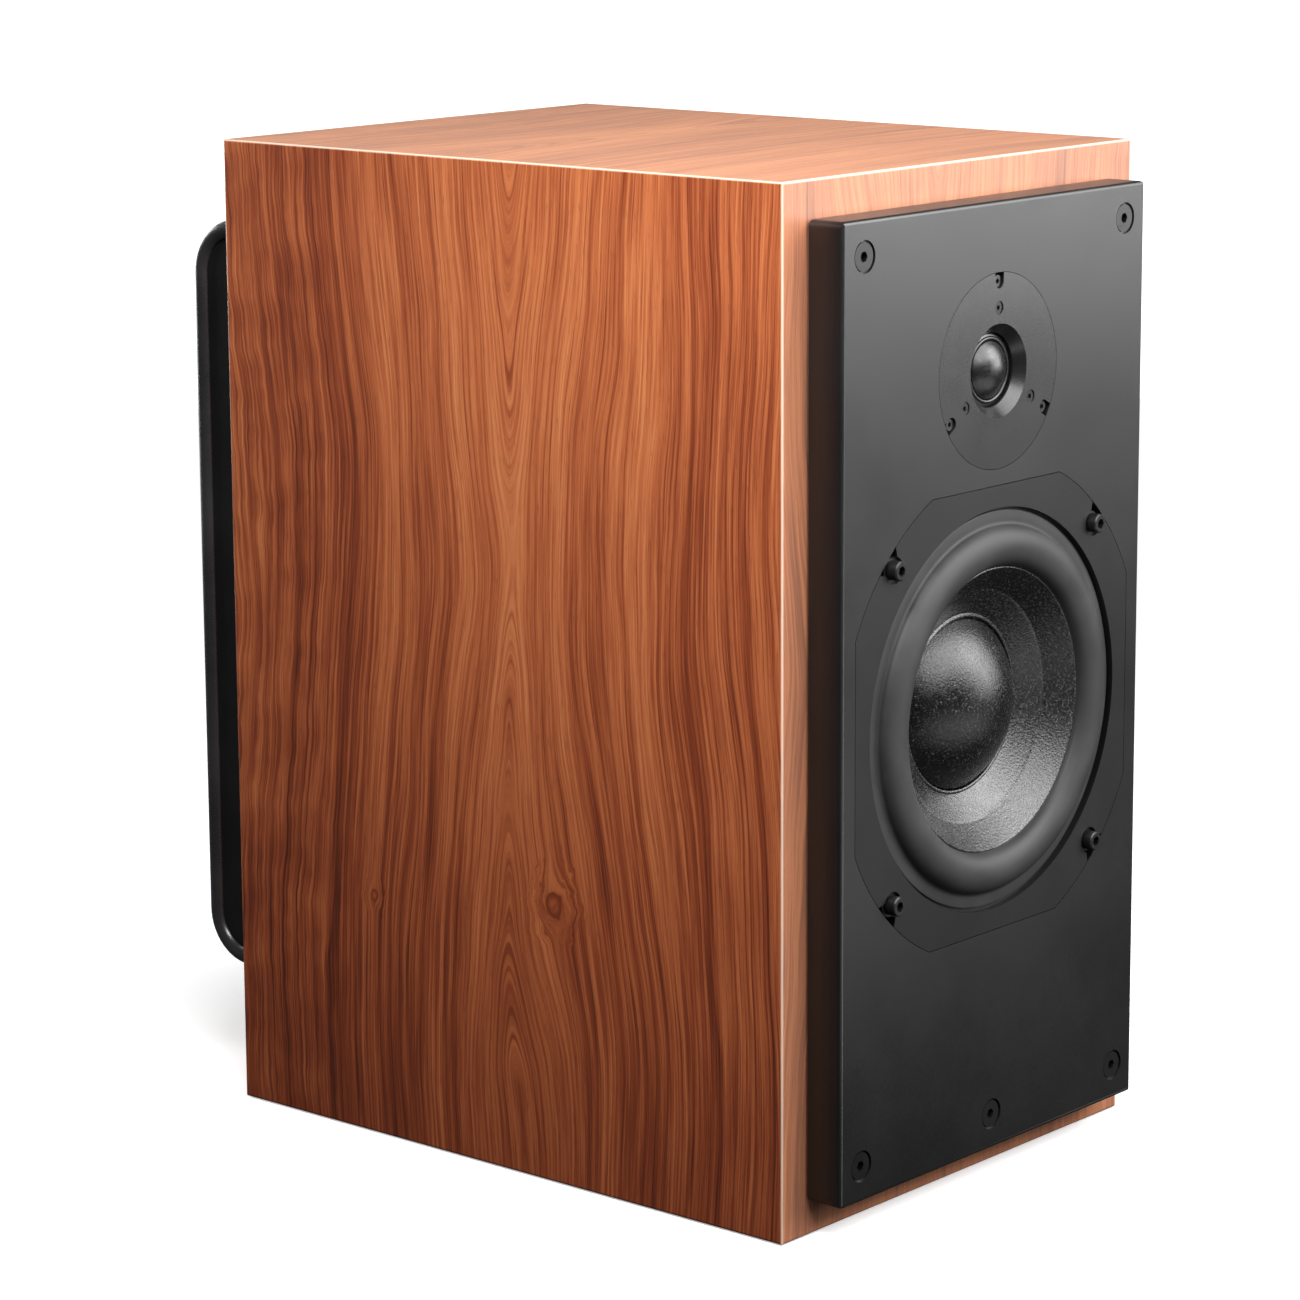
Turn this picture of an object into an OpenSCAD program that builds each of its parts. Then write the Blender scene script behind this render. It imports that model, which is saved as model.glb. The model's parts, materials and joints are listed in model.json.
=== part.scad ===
// Active two-way bookshelf loudspeaker.
// A mitred, veneered wooden cabinet carries a proud black baffle with a soft-dome
// tweeter and a large-dome woofer, and an amplifier pack with guard hoops on its back.
// Origin: centre of the cabinet's underside. The front faces -Y and +Z is up.

/* [Cabinet] */
// Width of the wooden cabinet
cabinet_w = 242; // [240:1:250]
// Depth of the wooden cabinet, without baffle and amplifier
cabinet_d = 317; // [310:1:340]
// Height of the wooden cabinet
cabinet_h = 440; // [440:1:450]
// Thickness of the six cabinet panels
panel_t = 18; // [16:1:18]
// Rounding of the cabinet's outer edges
edge_r = 1.2; // [0.6:0.1:1.6]

/* [Baffle] */
// Width of the black front baffle
baffle_w = 211; // [209:1:214]
// Height of the black front baffle
baffle_h = 409; // [407:1:411]
// Height of the baffle's lower edge above the base
baffle_z = 15; // [13:1:17]
// Thickness of the baffle itself
baffle_t = 17; // [16:1:18]
// Thickness of the gasket between baffle and cabinet
baffle_gasket_t = 1; // [0.8:0.1:1.2]
// Rounding of the baffle's front edges
baffle_edge_r = 1.6; // [1:0.1:2]
// Rounding of the baffle's four corners
baffle_corner_r = 3; // [2:0.5:4]

/* [Tweeter] */
// Height of the tweeter's axis
tweeter_z = 353; // [353:1:355]
// Radius of the tweeter's faceplate
tweeter_plate_r = 41.2; // [40.6:0.1:41.6]
// Radius of the waveguide where it meets the face
waveguide_r = 19.8; // [19:0.1:20.5]
// Radius of the waveguide's throat
throat_r = 15.8; // [15.6:0.1:16.2]
// Radius of the soft dome
tweeter_dome_r = 12.3; // [12.2:0.1:12.4]
// Height of the soft dome
tweeter_dome_h = 4.9; // [4.6:0.1:5]

/* [Woofer] */
// Height of the woofer's axis
woofer_z = 208.5; // [207:0.5:209]
// Radius of the rounded parts of the woofer's flange
flange_r = 106; // [105:0.5:106.5]
// Distance from the axis to each flat side of the flange
flange_flat = 96; // [95:0.5:97]
// Distance of the fixing screws from the axis, sideways and upwards
flange_screw = 70.5; // [70:0.5:71]
// Radius where the rubber roll starts
roll_outer_r = 79; // [78.5:0.5:79.5]
// Radius of the cone's outer edge
cone_r = 61; // [60:0.5:61.5]
// Radius of the crease in the cone
crease_r = 50; // [48:0.5:52]
// Depth of the cone's neck behind the baffle's face
neck_depth = 20; // [19:0.5:21]
// Height of the woofer's dome above its neck
woofer_dome_h = 18; // [17:0.5:19]
// Height of the rubber roll's crest above the baffle's face
roll_proud = 4.5; // [3.5:0.5:5]

/* [Amplifier pack] */
// Width of the amplifier plate
amp_w = 218; // [216:1:222]
// Height of the amplifier plate
amp_h = 366; // [364:1:370]
// Height of the amplifier plate's centre
amp_z = 227.5; // [226:0.5:229]
// Thickness of the amplifier plate
amp_t = 4; // [3:0.5:5]
// Sideways distance of each guard hoop from the centre
guard_x = 97; // [96:0.5:98]
// Distance of the hoop's upright behind the cabinet
guard_out = 39.4; // [38:0.2:42]
// Height of the hoop's lower leg
guard_low = 58; // [57:0.5:60]
// Height of the hoop's upper leg
guard_high = 396.5; // [395:0.5:398]
// Radius of the hoop's round rod
guard_rod_r = 4.2; // [3.8:0.1:4.4]
// Bend radius of the hoop, at the rod's centre
guard_bend_r = 20; // [18:0.5:24]
// Number of cooling fins
fin_count = 17; // [11:2:19]

/* [Hidden] */
$fn = 96;
eps = 0.01;
gap = 0.3;             // between parts that move against each other
thread_gap = 0.06;     // between a screw and the hole that it sits in

front_y = -cabinet_d / 2;
back_y = cabinet_d / 2;
face_y = front_y - baffle_t - baffle_gasket_t;
inner_w = cabinet_w - 2 * panel_t;
inner_d = cabinet_d - 2 * panel_t;
inner_top = cabinet_h - panel_t;
panel_face = -baffle_t - baffle_gasket_t;      // the cabinet's front, seen from the baffle's face

baffle_screw_in = 14.5;                        // from the baffle's sides to its screws
baffle_screws_at = [
    for (x = [-1, 1], z = [baffle_z + 15.5, baffle_z + baffle_h - 15])
        [x * (baffle_w / 2 - baffle_screw_in), z],
    [0, baffle_z + 15.5]
];
baffle_screw_r = 3;
baffle_head_r = 5.9;
baffle_head_sunk = 0.5;
baffle_recess_r = 6.8;
insert_len = 12;

tweeter_t = 5;
tweeter_boss_t = 2;
tweeter_motor_r = 31;
tweeter_ring = -tweeter_t - tweeter_boss_t;    // front of the tweeter's top plate
tweeter_top_t = 4;
tweeter_magnet_t = 12;
tweeter_back_t = 5;
tweeter_hole_r = 33.5;                         // hole behind the faceplate
tweeter_dome_base = -5.2;
tweeter_fix_r = 37.5;
tweeter_plate_screw_r = 26.5;
tweeter_angles = [90, 210, 330];
pole_r = 11.6;
tweeter_coil_r = 12;

flange_t = 6;
woofer_gasket_t = 1;
land_r = 85.3;
land_depth = 3.2;
land_t = 1.2;
basket_r = 84.5;
basket_hole_r = 85.5;
basket_wall = 3.5;
basket_back = -62;
basket_back_r = 66;
rib_count = 6;
window_angle = 40;
spider_z = -45;
spider_ledge_r = 57;
seat_depth = 1.7;
seat_r = 5.75;
woofer_head_r = 4.1;
woofer_head_h = 5.5;
woofer_screw_r = 2.5;
former_r = 37.4;
former_t = 0.5;
coil_t = 0.7;
woofer_pole_r = 37;
top_plate_t = 8;
magnet_t = 20;
back_plate_t = 8;
magnet_r = 66;
plate_r = 62;
plate_hole_r = 39.2;
magnet_hole_r = 46;
vent_r = 12;

window_x = 84;                                 // half width of the hole behind the amplifier plate
window_z = [66, 390];
amp_face = back_y + amp_t;
amp_screws_at = [
    for (x = [-1, 1], i = [0 : 4]) [x * (amp_w / 2 - 5), 76 + i * 75.75],
    for (z = [-1, 1]) [0, amp_z + z * (amp_h / 2 - 6)]
];
cheek_t = 5;
cheek_out = 2;                                 // the cheek's face stands this far outside the hoop's centre
fin_t = 2.5;
fin_reach = 24.5;
sink_base_t = 5;
sink_w = 178;
sink_z = [190, 392];
boss_len = 22;
boss_r = 4;
board_w = 150;
board_z = [200, 370];
board_t = 1.6;
board_hole_in = 6;

inlet_at = [58, 104];
inlet_w = 28;
inlet_h = 42;
inlet_flange_t = 2.5;
inlet_mouth = [24.6, 16.8];
inlet_mouth_up = 9;
inlet_depth = 18;
pin_tip = -4.5;
drawer_slot = [24.6, 10];
drawer_down = 13;
drawer_len = 22;

switch_at = [18, 104];
switch_mouth = [14.6, 24];
switch_body = [18.6, 28];
rocker_w = 14;
rocker_half = 10.5;
rocker_tilt = 8;
rocker_pin_r = 1.2;
rocker_axis = -1;

knob_at = [-20, 104];
knob_r = 8;
knob_h = 12;
knob_stem_r = 3;
led_at = [-20, 136];
led_r = 2.5;

xlr_at = [-60, 104];
xlr_body = [24, 29];
xlr_mouth_r = 9.6;
xlr_core_r = 7.9;
xlr_pin_circle_r = 4.5;
latch_at = 12.5;
latch_size = [6.2, 3.4];

toroid_at = [0, 66];
toroid_r = 48;
toroid_hole_r = 18;
toroid_h = 38;

brace_z = [300, 316];

// ---------- frames and shared shapes ----------

// Puts children on the baffle's face: x right, y up, z out of the baffle.
module on_face(x = 0, z = 0) {
    translate([x, face_y, z]) rotate([90, 0, 0]) children();
}

// Puts children on the cabinet's back at x and z: their own x runs towards -X, y up, z outwards.
module on_back(x = 0, z = 0, out = 0) {
    translate([x, back_y + out, z]) rotate([90, 0, 180]) children();
}

module ring(outer_r, inner_r, low, high) {
    translate([0, 0, low]) difference() {
        cylinder(r = outer_r, h = high - low);
        translate([0, 0, -1]) cylinder(r = inner_r, h = high - low + 2);
    }
}

module disc(r, low, high) {
    translate([0, 0, low]) cylinder(r = r, h = high - low);
}

module rounded_square(w, h, r) {
    square([w - 2 * r, h], center = true);
    square([w, h - 2 * r], center = true);
    for (x = [-1, 1], y = [-1, 1])
        translate([x * (w / 2 - r), y * (h / 2 - r)]) circle(r = r);
}

// A flat plate from low to high, centred on the local origin.
module plate(w, h, low, high, r = 2) {
    translate([0, 0, low]) linear_extrude(high - low) rounded_square(w, h, r);
}

module block(w, h, low, high) {
    translate([-w / 2, -h / 2, low]) cube([w, h, high - low]);
}

// Countersunk screw: its head's top lies at z = 0.
module sunk_screw(head_r, shank_r, len) {
    cone_h = head_r - shank_r;
    difference() {
        union() {
            disc(head_r, -0.6, 0);
            translate([0, 0, -0.6 - cone_h]) cylinder(r1 = shank_r, r2 = head_r, h = cone_h);
            disc(shank_r, -len, -0.6 - cone_h);
        }
        translate([0, 0, -head_r * 0.45]) cylinder(r = head_r * 0.4, h = head_r, $fn = 6);
    }
}

// The hole that such a screw sits in, open above z = 0.
module sunk_hole(head_r, shank_r, len) {
    g = thread_gap;
    cone_h = head_r - shank_r;
    disc(head_r + g, -0.6, 20);
    translate([0, 0, -0.6 - cone_h]) cylinder(r1 = shank_r + g, r2 = head_r + g, h = cone_h);
    disc(shank_r + g, -len - 1, -0.6 - cone_h + eps);
}

// ---------- cabinet ----------

// The rounded box that all six panels are cut from.
module cabinet_envelope() {
    d = [cabinet_w, cabinet_d, cabinet_h];
    translate([0, 0, cabinet_h / 2]) intersection() {
        translate([0, 0, -d.z]) linear_extrude(2 * d.z) rounded_square(d.x, d.y, edge_r);
        rotate([90, 0, 0]) translate([0, 0, -d.y])
            linear_extrude(2 * d.y) rounded_square(d.x, d.z, edge_r);
        rotate([90, 0, 90]) translate([0, 0, -d.x])
            linear_extrude(2 * d.x) rounded_square(d.y, d.z, edge_r);
    }
}

// A panel whose outer face is at z = 0, with 45 degree mitres on all four edges.
module mitred_panel(w, h) {
    intersection() {
        rotate([90, 0, 0]) translate([0, 0, -h]) linear_extrude(2 * h)
            polygon([[-w / 2, 0], [w / 2, 0], [w / 2 - panel_t, -panel_t], [panel_t - w / 2, -panel_t]]);
        rotate([90, 0, 90]) translate([0, 0, -w]) linear_extrude(2 * w)
            polygon([[-h / 2, 0], [h / 2, 0], [h / 2 - panel_t, -panel_t], [panel_t - h / 2, -panel_t]]);
    }
}

module wood() {
    color("sienna") intersection() {
        children();
        cabinet_envelope();
    }
}

module side_panel(side) {
    wood() translate([side * cabinet_w / 2, 0, cabinet_h / 2]) rotate([90, 0, side * 90])
        mitred_panel(cabinet_d, cabinet_h);
}

module side_panel_left() { side_panel(-1); }
module side_panel_right() { side_panel(1); }

module top_panel() {
    wood() translate([0, 0, cabinet_h]) mitred_panel(cabinet_w, cabinet_d);
}

module bottom_panel() {
    difference() {
        wood() rotate([180, 0, 0]) mitred_panel(cabinet_w, cabinet_d);
        translate([toroid_at.x, toroid_at.y, 5]) cylinder(r = 3 + thread_gap, h = panel_t);
    }
}

module front_panel() {
    difference() {
        wood() translate([0, front_y, cabinet_h / 2]) rotate([90, 0, 0])
            mitred_panel(cabinet_w, cabinet_h);
        on_face(0, woofer_z) disc(basket_hole_r + 1.5, -80, 0);
        on_face(0, tweeter_z) disc(tweeter_hole_r + 2, -80, 0);
        for (p = baffle_screws_at)
            on_face(p.x, p.y) disc(4.5 + thread_gap, panel_face - 1 - insert_len, 0);
    }
}

module back_panel() {
    difference() {
        wood() translate([0, back_y, cabinet_h / 2]) rotate([90, 0, 180])
            mitred_panel(cabinet_w, cabinet_h);
        on_back(0, (window_z[0] + window_z[1]) / 2)
            plate(2 * window_x, window_z[1] - window_z[0], -60, 10, 10);
        for (p = amp_screws_at) on_back(p.x, p.y) disc(1.75 + thread_gap, -12, 10);
    }
}

module cabinet_brace() {
    depth = 220;
    color("burlywood") difference() {
        translate([-inner_w / 2, -inner_d / 2, brace_z[0]])
            cube([inner_w, depth, brace_z[1] - brace_z[0]]);
        translate([0, -inner_d / 2 + depth / 2, brace_z[0] - 1])
            linear_extrude(30) rounded_square(inner_w - 56, depth - 80, 20);
    }
}

module acoustic_wadding() {
    color("gainsboro") translate([-inner_w / 2 + 5, -60, inner_top - 28])
        cube([inner_w - 10, 140, 28]);
}

// ---------- baffle ----------

// The woofer flange's outline: a circle with four flat sides.
module flange_outline(grow = 0) {
    intersection() {
        circle(r = flange_r + grow);
        square(2 * (flange_flat + grow), center = true);
    }
}

module at_flange_screws() {
    for (a = [45 : 90 : 315]) rotate(a) translate([flange_screw * sqrt(2), 0]) children();
}

module baffle_envelope() {
    r = baffle_edge_r;
    t = baffle_t;
    mid = baffle_z + baffle_h / 2;
    intersection() {
        on_face(0, mid) plate(baffle_w, baffle_h, -t, 0, baffle_corner_r);
        translate([0, 0, baffle_z - 1]) linear_extrude(baffle_h + 2)
            translate([0, face_y + t]) rounded_square(baffle_w, 2 * t, r);
        translate([-baffle_w, 0, 0]) rotate([90, 0, 90]) linear_extrude(2 * baffle_w)
            translate([face_y + t, mid]) rounded_square(2 * t, baffle_h, r);
    }
}

module front_baffle() {
    color("#1c1c1e") difference() {
        baffle_envelope();
        on_face(0, woofer_z) {
            translate([0, 0, -flange_t - woofer_gasket_t]) linear_extrude(20) flange_outline(0.3);
            disc(basket_hole_r, -40, 0);
            at_flange_screws() disc(3.6 + thread_gap, -40, 0);
        }
        on_face(0, tweeter_z) {
            disc(tweeter_plate_r + 0.25, -tweeter_t, 10);
            disc(tweeter_hole_r, -40, 0);
            for (a = tweeter_angles) rotate(a) translate([tweeter_fix_r, 0])
                disc(1.5 + thread_gap, -15, 0);
        }
        for (p = baffle_screws_at) on_face(p.x, p.y) {
            disc(baffle_recess_r, -baffle_head_sunk - 0.8, 10);
            translate([0, 0, -baffle_head_sunk]) sunk_hole(baffle_head_r, baffle_screw_r, 30);
        }
    }
}

module baffle_gasket() {
    inset = 2;
    color("#0e0e0e") difference() {
        on_face(0, baffle_z + baffle_h / 2)
            plate(baffle_w - 2 * inset, baffle_h - 2 * inset, panel_face, -baffle_t, 3);
        on_face(0, woofer_z) disc(basket_hole_r + 1, -40, 0);
        on_face(0, tweeter_z) disc(tweeter_hole_r + 1, -40, 0);
        for (p = baffle_screws_at) on_face(p.x, p.y) disc(baffle_screw_r + 0.5, -40, 0);
    }
}

module baffle_screws() {
    color("#222222") for (p = baffle_screws_at)
        on_face(p.x, p.y) translate([0, 0, -baffle_head_sunk])
            sunk_screw(baffle_head_r, baffle_screw_r, 27);
}

module threaded_inserts() {
    color("goldenrod") {
        for (p = baffle_screws_at) on_face(p.x, p.y)
            ring(4.5, baffle_screw_r + thread_gap, panel_face - 1 - insert_len, panel_face - 1);
        on_face(0, woofer_z) at_flange_screws()
            ring(3.6, woofer_screw_r + thread_gap, -baffle_t, -baffle_t + 9);
    }
}

// ---------- tweeter ----------

module at_tweeter_angles(r) {
    for (a = tweeter_angles) rotate(a) translate([r, 0]) children();
}

module tweeter_faceplate() {
    notch_r = 3;
    notch_floor = -3.8;
    color("#1a1a1c") on_face(0, tweeter_z) difference() {
        union() {
            disc(tweeter_plate_r, -tweeter_t, 0);
            disc(tweeter_motor_r, tweeter_ring, -tweeter_t);
        }
        translate([0, 0, -4.3])
            cylinder(r1 = throat_r, r2 = waveguide_r, h = 4.3);
        disc(waveguide_r, 0, 1);
        disc(throat_r, -tweeter_t - 0.4, -4.3 + eps);
        disc(16.8, tweeter_ring - 1, -tweeter_t - 0.4);
        at_tweeter_angles(tweeter_fix_r) {
            disc(notch_r, notch_floor, 1);
            translate([0, -notch_r, notch_floor]) cube([10, 2 * notch_r, 10]);
            disc(1.75, -10, 0);
        }
        at_tweeter_angles(tweeter_plate_screw_r)
            translate([0, 0, -0.5]) sunk_hole(2.8, 1.5, 10);
    }
}

module tweeter_mounting_screws() {
    color("#2a2a2a") on_face(0, tweeter_z) at_tweeter_angles(tweeter_fix_r) difference() {
        union() {
            disc(2.6, -3.8, -1.1);
            disc(1.5, -14, -3.8);
        }
        translate([0, 0, -2.4]) cylinder(r = 1.2, h = 3, $fn = 6);
    }
}

module tweeter_faceplate_screws() {
    color("#2a2a2a") on_face(0, tweeter_z) at_tweeter_angles(tweeter_plate_screw_r)
        translate([0, 0, -0.5]) sunk_screw(2.8, 1.5, 9.5);
}

module tweeter_top_plate() {
    color("silver") on_face(0, tweeter_z) difference() {
        ring(tweeter_motor_r, tweeter_coil_r + 1.1, tweeter_ring - tweeter_top_t, tweeter_ring);
        at_tweeter_angles(tweeter_plate_screw_r)
            disc(1.5 + thread_gap, tweeter_ring - 10, tweeter_ring + 1);
    }
}

module tweeter_magnet() {
    high = tweeter_ring - tweeter_top_t;
    color("#3a3a3a") on_face(0, tweeter_z)
        ring(tweeter_motor_r, 17, high - tweeter_magnet_t, high);
}

module tweeter_pole_piece() {
    high = tweeter_ring - tweeter_top_t - tweeter_magnet_t;
    color("silver") on_face(0, tweeter_z) difference() {
        union() {
            disc(tweeter_motor_r, high - tweeter_back_t, high);
            disc(pole_r, high, tweeter_ring - 0.3);
        }
        disc(3, high - 10, 0);
    }
}

module tweeter_surround() {
    roll_c = (tweeter_dome_r + gap + 14) / 2;
    roll_r = (14 - tweeter_dome_r - gap) / 2;
    color("#101010") on_face(0, tweeter_z) rotate_extrude() {
        translate([14, tweeter_ring]) square([2.5, tweeter_dome_base - 0.3 - tweeter_ring]);
        translate([roll_c, tweeter_dome_base - 0.3]) difference() {
            circle(r = roll_r, $fn = 32);
            circle(r = roll_r - 0.25, $fn = 32);
            translate([-2, -4]) square(4);
        }
        translate([13.7, tweeter_dome_base - 0.6]) square([0.3 + eps, 0.6]);
    }
}

module tweeter_dome() {
    r = (pow(tweeter_dome_r, 2) + pow(tweeter_dome_h, 2)) / (2 * tweeter_dome_h);
    centre = tweeter_dome_base + tweeter_dome_h - r;
    color("#141414") on_face(0, tweeter_z) difference() {
        translate([0, 0, centre]) sphere(r = r);
        translate([0, 0, centre]) sphere(r = r - 0.35);
        disc(r + 5, centre - r - 5, tweeter_dome_base);
    }
}

module tweeter_voice_coil() {
    color("peru") on_face(0, tweeter_z) {
        ring(tweeter_coil_r + 0.2, tweeter_coil_r, tweeter_ring - 5, tweeter_dome_base);
        ring(tweeter_coil_r + 0.6, tweeter_coil_r + 0.2, tweeter_ring - 4, tweeter_ring - 0.2);
    }
}

module tweeter_terminals() {
    base = tweeter_ring - tweeter_top_t - tweeter_magnet_t - tweeter_back_t;
    color("gold") on_face(0, tweeter_z) for (x = [-8, 8]) translate([x, -18, 0]) {
        block(7, 6, base - 2, base);
        block(0.8, 4.8, base - 10, base - 2);
    }
}

// ---------- woofer ----------

// Pocket behind each screw that opens towards the flange's edge, drawn along +X.
module flange_notch() {
    polygon([[2.6, -5.2], [9, -9.2], [20, -16], [20, 16], [9, 9.2], [2.6, 5.2]]);
}

module woofer_basket() {
    wall = basket_wall;
    shell = [
        [basket_r, -flange_t], [basket_r, -14], [basket_back_r, -56], [basket_back_r, basket_back],
        [40, basket_back], [40, -59], [basket_back_r - wall - 1, -59],
        [basket_back_r - wall, -56], [basket_r - wall, -14], [roll_outer_r, -flange_t]
    ];
    color("#202022") on_face(0, woofer_z) difference() {
        union() {
            translate([0, 0, -flange_t]) linear_extrude(flange_t) flange_outline();
            rotate_extrude() polygon(shell);
            ring(67.6, spider_ledge_r, spider_z - 2.5, spider_z);
            translate([basket_back_r - 2, -7, basket_back]) cube([16, 14, 5]);
        }
        disc(roll_outer_r, -13, 1);
        disc(86.6, -land_depth, 1);
        at_flange_screws() {
            disc(seat_r, -seat_depth, 1);
            disc(woofer_screw_r + 0.2, -20, 1);
            translate([0, 0, -flange_t - 1]) linear_extrude(20) difference() {
                flange_notch();
                circle(r = seat_r - 0.6);
            }
        }
        for (i = [0 : rib_count - 1]) rotate(i * 360 / rib_count + 30 - window_angle / 2)
            rotate_extrude(angle = window_angle) translate([55, -42]) square([40, 26]);
    }
}

module woofer_gasket() {
    color("#0c0c0c") on_face(0, woofer_z) difference() {
        translate([0, 0, -flange_t - woofer_gasket_t]) linear_extrude(woofer_gasket_t)
            flange_outline();
        disc(basket_hole_r, -20, 0);
        at_flange_screws() disc(woofer_screw_r + 0.2, -20, 0);
    }
}

module woofer_screws() {
    color("#181818") on_face(0, woofer_z) at_flange_screws() difference() {
        union() {
            disc(woofer_head_r, -seat_depth, woofer_head_h - seat_depth - 0.5);
            translate([0, 0, woofer_head_h - seat_depth - 0.5])
                cylinder(r1 = woofer_head_r, r2 = woofer_head_r - 0.5, h = 0.5);
            disc(woofer_screw_r, -baffle_t + 0.5, -seat_depth);
        }
        translate([0, 0, woofer_head_h - seat_depth - 2.6]) cylinder(r = 2.3, h = 5, $fn = 6);
    }
}

module woofer_surround() {
    foot = -land_depth + land_t;
    inner = cone_r + gap;
    centre = (roll_outer_r + inner) / 2;
    half = (roll_outer_r - inner) / 2;
    rise = roll_proud - foot;
    steps = 16;
    function arc(w, h) = [for (i = [0 : steps]) [centre + w * cos(i * 180 / steps), foot + h * sin(i * 180 / steps)]];
    function back(p) = [for (i = [len(p) - 1 : -1 : 0]) p[i]];
    color("#161616") on_face(0, woofer_z) rotate_extrude() {
        polygon(concat(arc(half, rise), back(arc(half - 1.1, rise - 1.1))));
        translate([roll_outer_r - 1.1, -land_depth]) square([land_r - roll_outer_r + 1.1, land_t]);
    }
}

module woofer_spider() {
    inner = former_r + former_t + gap;
    steps = 36;
    run = spider_ledge_r - inner;
    function wave(i) = 1.4 * sin(i * 360 * 4 / steps);
    function line(z) = [for (i = [0 : steps]) [inner + run * i / steps, z + wave(i)]];
    function back(p) = [for (i = [len(p) - 1 : -1 : 0]) p[i]];
    color("khaki") on_face(0, woofer_z) rotate_extrude()
        polygon(concat(line(spider_z), [[65, spider_z], [65, spider_z + 0.7]], back(line(spider_z + 0.7))));
}

module woofer_cone() {
    neck = former_r + former_t;
    crease = -0.49 * neck_depth;
    color("#121212") on_face(0, woofer_z) rotate_extrude() polygon([
        [cone_r, -0.8], [crease_r, crease], [neck, -neck_depth + 0.4],
        [neck, -neck_depth - 2], [crease_r + 0.8, crease - 1.6], [cone_r, -2.4]
    ]);
}

module woofer_dome() {
    base_r = former_r + former_t;
    r = (pow(base_r, 2) + pow(woofer_dome_h, 2)) / (2 * woofer_dome_h);
    centre = woofer_dome_h - neck_depth - r;
    color("#121212") on_face(0, woofer_z) difference() {
        translate([0, 0, centre]) sphere(r = r);
        translate([0, 0, centre]) sphere(r = r - 0.8);
        disc(r + 5, centre - r - 5, -neck_depth);
    }
}

module woofer_voice_coil() {
    outer = former_r + former_t;
    color("peru") on_face(0, woofer_z) {
        ring(outer, former_r, -76, -neck_depth);
        ring(outer + coil_t, outer, -75, -57);
    }
}

module woofer_top_plate() {
    color("silver") on_face(0, woofer_z)
        ring(plate_r, plate_hole_r, basket_back - top_plate_t, basket_back);
}

module woofer_magnet() {
    high = basket_back - top_plate_t;
    color("#333333") on_face(0, woofer_z) ring(magnet_r, magnet_hole_r, high - magnet_t, high);
}

module woofer_pole_piece() {
    high = basket_back - top_plate_t - magnet_t;
    color("silver") on_face(0, woofer_z) difference() {
        union() {
            disc(plate_r, high - back_plate_t, high);
            disc(woofer_pole_r, high, basket_back + 0.5);
        }
        disc(vent_r, high - 20, 0);
    }
}

module woofer_terminals() {
    color("gold") on_face(0, woofer_z) for (y = [-3.5, 3.5]) translate([basket_back_r + 8, y, 0]) {
        block(9, 6, basket_back - 2, basket_back);
        block(4.8, 0.8, basket_back - 11, basket_back - 2);
    }
}

// ---------- amplifier pack ----------

module amp_plate() {
    color("#1b1b1b") difference() {
        on_back(0, amp_z) {
            plate(amp_w, amp_h, 0, amp_t, 8);
            for (x = [-1, 1], z = board_z) {
                inward = z == board_z[0] ? board_hole_in : -board_hole_in;
                translate([x * (board_w / 2 - board_hole_in), z + inward - amp_z, 0])
                    disc(boss_r, -boss_len, 0);
            }
        }
        for (p = amp_screws_at) on_back(p.x, p.y, amp_t) sunk_hole(3.6, 1.75, 10);
        on_back(inlet_at.x, inlet_at.y) plate(inlet_w + 0.4, inlet_h + 0.4, -1, 10, 1);
        on_back(switch_at.x, switch_at.y)
            plate(switch_body.x + 0.4, switch_body.y + 0.4, -1, 10, 1);
        on_back(xlr_at.x, xlr_at.y) plate(xlr_body.x + 0.4, xlr_body.y + 0.4, -1, 10, 2);
        on_back(knob_at.x, knob_at.y) disc(knob_stem_r + 0.4, -1, 10);
        on_back(led_at.x, led_at.y) disc(led_r + 0.05, -1, 10);
    }
}

module amp_plate_screws() {
    color("#303030") for (p = amp_screws_at) on_back(p.x, p.y, amp_t) sunk_screw(3.6, 1.75, 15);
}

module heatsink() {
    mid = (sink_z[0] + sink_z[1]) / 2;
    tall = sink_z[1] - sink_z[0];
    color("#161616") on_back(0, mid, amp_t) {
        block(sink_w, tall, 0, sink_base_t);
        for (i = [0 : fin_count - 1])
            translate([(i / (fin_count - 1) - 0.5) * (sink_w - fin_t), 0, 0])
                block(fin_t, tall, sink_base_t - eps, sink_base_t + fin_reach);
    }
}

// Side wall of the pack, which fills the guard hoop.
module amp_cheek(side) {
    reach = guard_out - guard_rod_r - amp_t - 0.2;
    tall = guard_high - guard_low - 2 * guard_rod_r - 0.4;
    mid = (guard_high + guard_low) / 2;
    r = guard_bend_r - guard_rod_r;
    outer = guard_x + cheek_out;
    color("#0f0f0f") translate([side > 0 ? outer - cheek_t : -outer, amp_face, mid])
        rotate([90, 0, 90]) linear_extrude(cheek_t) intersection() {
            rounded_square(2 * reach, tall, r);
            translate([0, -tall]) square([reach + 1, 2 * tall]);
        }
}

module amp_cheek_left() { amp_cheek(-1); }
module amp_cheek_right() { amp_cheek(1); }

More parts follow.
